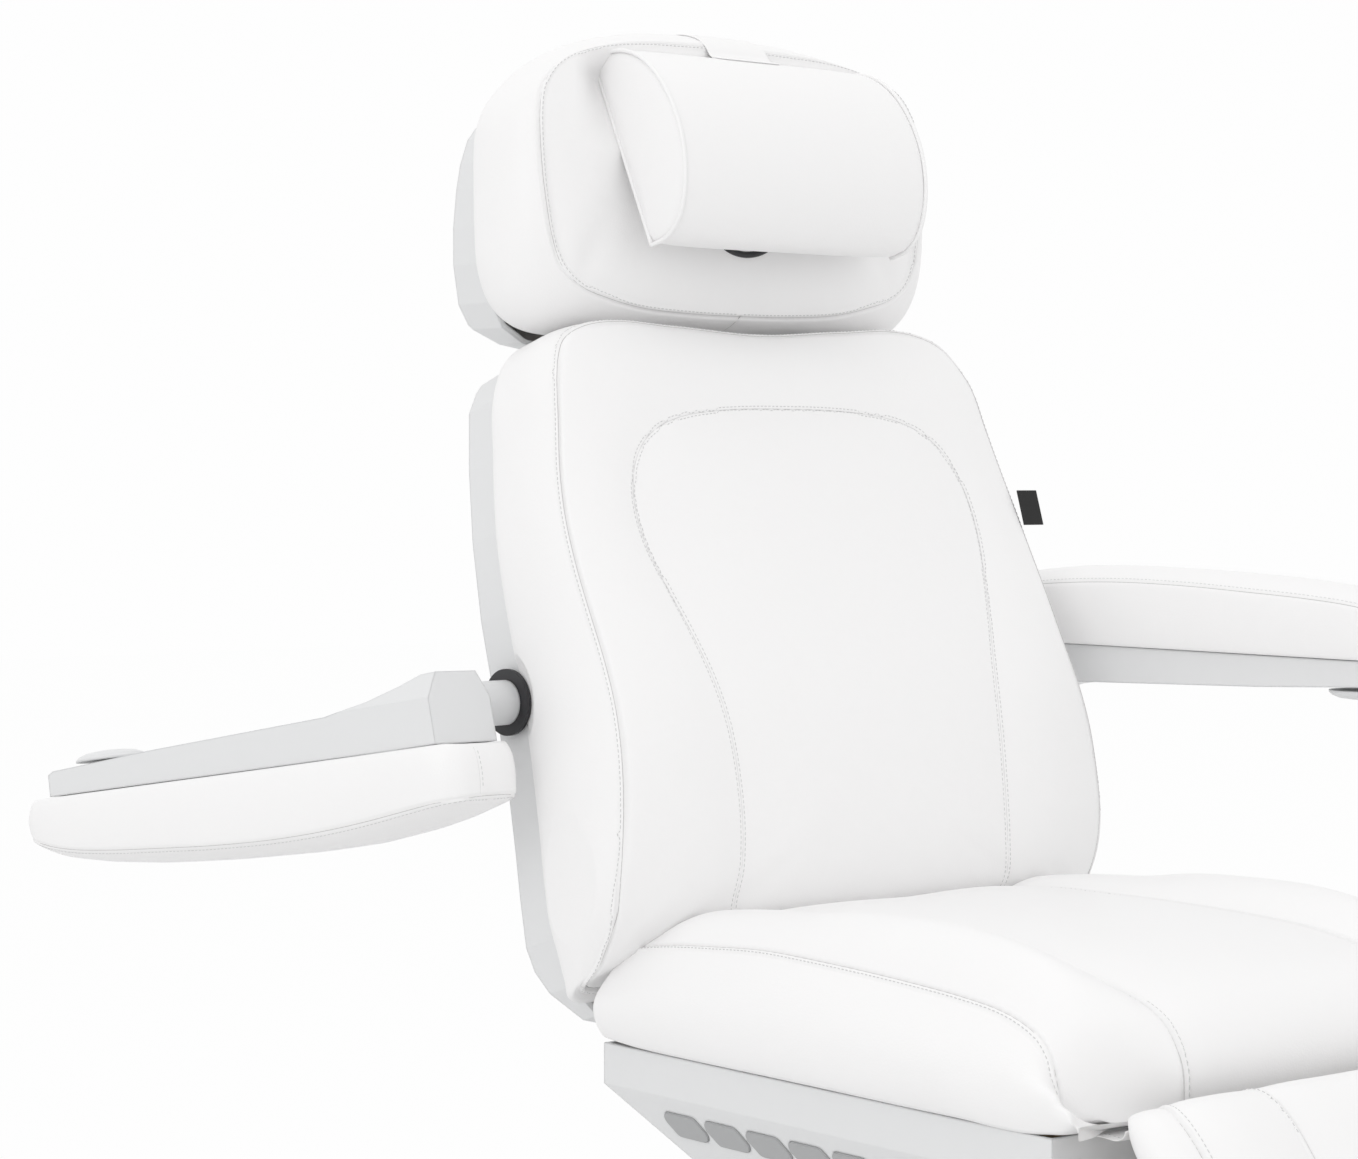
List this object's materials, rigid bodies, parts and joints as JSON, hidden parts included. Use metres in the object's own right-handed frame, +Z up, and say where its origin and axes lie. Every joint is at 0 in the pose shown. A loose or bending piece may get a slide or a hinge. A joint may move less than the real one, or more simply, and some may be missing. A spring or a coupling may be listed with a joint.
{
  "type": "treatment chair",
  "caption": "White upholstered cosmetic treatment chair on a motorised lifting column, with tilting seat, reclining back, headrest with neck pillow, flip-up arms and extending leg rest",
  "frame": {"origin": "on the floor under the middle of the base", "axes": "+X is the patient's left, -Y is the way the chair faces, +Z is up"},
  "size_m": [0.982, 1.4372, 1.378],
  "materials": {
    "frame_steel": "grey powder coat",
    "sleeve_paint": "light grey powder coat",
    "glide_plastic": "black moulded",
    "foot_rubber": "black rubber",
    "shell_plastic": "light grey satin moulding",
    "actuator_paint": "dark grey",
    "bright_steel": "ground and bright",
    "zinc_steel": "zinc plated",
    "bronze_nut": "machined",
    "plywood": "raw plywood",
    "white_vinyl": "white upholstery vinyl, satin",
    "button_grey": "mid grey",
    "circuit_board": "green laminate",
    "tag_black": "black woven",
    "washer_black": "black"
  },
  "bodies": {
    "base": {"base_plate": "frame_steel", "levelling_feet": "foot_rubber", "base_cover": "shell_plastic", "outer_sleeve": "sleeve_paint", "outer_glides": "glide_plastic", "lift_motor": "actuator_paint", "control_box": "glide_plastic", "mains_inlet": "glide_plastic", "flange_bolts": "zinc_steel"},
    "column": {"middle_sleeve": "sleeve_paint", "middle_glides": "glide_plastic"},
    "carriage": {"inner_sleeve": "sleeve_paint", "lift_nut": "bronze_nut", "tilt_actuator": "actuator_paint"},
    "tilter": {"tilt_rod": "bright_steel"},
    "seat": {"seat_frame": "frame_steel", "seat_board": "plywood", "seat_housing": "shell_plastic", "seat_cushion": "white_vinyl", "seat_flap": "white_vinyl", "button_board": "circuit_board", "back_actuator": "actuator_paint", "leg_actuator": "actuator_paint", "hinge_pins": "bright_steel"},
    "key_1": {"button_1": "button_grey"},
    "key_2": {"button_2": "button_grey"},
    "key_3": {"button_3": "button_grey"},
    "key_4": {"button_4": "button_grey"},
    "key_5": {"button_5": "button_grey"},
    "key_6": {"button_6": "button_grey"},
    "key_7": {"button_7": "button_grey"},
    "key_8": {"button_8": "button_grey"},
    "back_pusher": {"back_rod": "bright_steel"},
    "leg_pusher": {"leg_rod": "bright_steel"},
    "back": {"back_frame": "frame_steel", "back_board": "plywood", "back_shell": "shell_plastic", "back_cushion": "white_vinyl", "side_tag": "tag_black", "arm_axles": "bright_steel", "arm_washers": "washer_black", "post_guides": "glide_plastic"},
    "head_carrier": {"head_posts": "bright_steel"},
    "head": {"head_bracket": "frame_steel", "head_board": "plywood", "head_shell": "shell_plastic", "head_cushion": "white_vinyl", "face_plug": "white_vinyl", "neck_pillow": "white_vinyl", "pillow_strap": "white_vinyl"},
    "right_arm": {"right_casing": "shell_plastic", "right_pad": "white_vinyl"},
    "right_grip": {"right_knob": "shell_plastic"},
    "left_arm": {"left_casing": "shell_plastic", "left_pad": "white_vinyl"},
    "left_grip": {"left_knob": "shell_plastic"},
    "leg": {"leg_frame": "frame_steel"},
    "leg_slider": {"leg_board": "plywood", "leg_shell": "shell_plastic", "leg_cushion": "white_vinyl"}
  },
  "joints": [
    {"name": "lift", "type": "slide", "parent": "base", "child": "carriage", "axis": [0, 0, 1], "range_m": [0, 0.26]},
    {"name": "lift_middle", "type": "slide", "parent": "base", "child": "column", "axis": [0, 0, 1], "range_m": [0, 0.13]},
    {"name": "seat_tilt", "type": "hinge", "parent": "carriage", "child": "seat", "pos_m": [0, 0, 0.43], "axis": [-1, 0, 0], "range_deg": [0, 20]},
    {"name": "tilt_push", "type": "slide", "parent": "carriage", "child": "tilter", "axis": [0, 0, 1], "range_m": [0, 0.0478]},
    {"name": "button_1_press", "type": "slide", "parent": "seat", "child": "key_1", "axis": [0.8849, 0, 0.4657], "range_m": [0, 0.002], "stiffness_N_per_m": 800, "springref_m": -0.001},
    {"name": "button_2_press", "type": "slide", "parent": "seat", "child": "key_2", "axis": [0.8849, 0, 0.4657], "range_m": [0, 0.002], "stiffness_N_per_m": 800, "springref_m": -0.001},
    {"name": "button_3_press", "type": "slide", "parent": "seat", "child": "key_3", "axis": [0.8849, 0, 0.4657], "range_m": [0, 0.002], "stiffness_N_per_m": 800, "springref_m": -0.001},
    {"name": "button_4_press", "type": "slide", "parent": "seat", "child": "key_4", "axis": [0.8849, 0, 0.4657], "range_m": [0, 0.002], "stiffness_N_per_m": 800, "springref_m": -0.001},
    {"name": "button_5_press", "type": "slide", "parent": "seat", "child": "key_5", "axis": [0.8849, 0, 0.4657], "range_m": [0, 0.002], "stiffness_N_per_m": 800, "springref_m": -0.001},
    {"name": "button_6_press", "type": "slide", "parent": "seat", "child": "key_6", "axis": [0.8849, 0, 0.4657], "range_m": [0, 0.002], "stiffness_N_per_m": 800, "springref_m": -0.001},
    {"name": "button_7_press", "type": "slide", "parent": "seat", "child": "key_7", "axis": [0.8849, 0, 0.4657], "range_m": [0, 0.002], "stiffness_N_per_m": 800, "springref_m": -0.001},
    {"name": "button_8_press", "type": "slide", "parent": "seat", "child": "key_8", "axis": [0.8849, 0, 0.4657], "range_m": [0, 0.002], "stiffness_N_per_m": 800, "springref_m": -0.001},
    {"name": "back_recline", "type": "hinge", "parent": "seat", "child": "back", "pos_m": [0, 0.266, 0.518], "axis": [-1, 0, 0], "range_deg": [0, 72]},
    {"name": "back_push", "type": "slide", "parent": "seat", "child": "back_pusher", "axis": [0, -1, 0], "range_m": [0, 0.0764]},
    {"name": "leg_raise", "type": "hinge", "parent": "seat", "child": "leg", "pos_m": [0, -0.33, 0.486], "axis": [-1, 0, 0], "range_deg": [0, 52]},
    {"name": "leg_push", "type": "slide", "parent": "seat", "child": "leg_pusher", "axis": [0, -1, 0], "range_m": [0, 0.0498]},
    {"name": "leg_extend", "type": "slide", "parent": "leg", "child": "leg_slider", "axis": [0, -0.6157, -0.788], "range_m": [0, 0.12]},
    {"name": "head_height", "type": "slide", "parent": "back", "child": "head_carrier", "axis": [0, 0.2924, 0.9563], "range_m": [0, 0.1]},
    {"name": "head_tip", "type": "hinge", "parent": "head_carrier", "child": "head", "pos_m": [0, 0.49456, 1.14419], "axis": [-1, 0, 0], "range_deg": [0, 30]},
    {"name": "right_arm_swing", "type": "hinge", "parent": "back", "child": "right_arm", "pos_m": [-0.27, 0.36998, 0.77602], "axis": [-0.9973, -0.0732, 0], "range_deg": [-189.5, 0]},
    {"name": "left_arm_swing", "type": "hinge", "parent": "back", "child": "left_arm", "pos_m": [0.27, 0.36998, 0.77602], "axis": [-0.9973, 0.0732, 0], "range_deg": [0, 189.5]},
    {"name": "right_knob_turn", "type": "hinge", "parent": "right_arm", "child": "right_grip", "pos_m": [-0.46486, 0.719, 0.71539], "axis": [0.0121, -0.1646, -0.9863], "continuous": true},
    {"name": "left_knob_turn", "type": "hinge", "parent": "left_arm", "child": "left_grip", "pos_m": [0.41142, -0.00879, 0.77602], "axis": [0, 0, 1], "continuous": true}
  ],
  "couplings": [
    {"joint": "lift_middle", "follows": "lift", "ratio": 0.5},
    {"joint": "tilt_push", "follows": "seat_tilt", "m_per_rad": 0.13694},
    {"joint": "back_push", "follows": "back_recline", "m_per_rad": 0.0608},
    {"joint": "leg_push", "follows": "leg_raise", "m_per_rad": 0.05487}
  ]
}
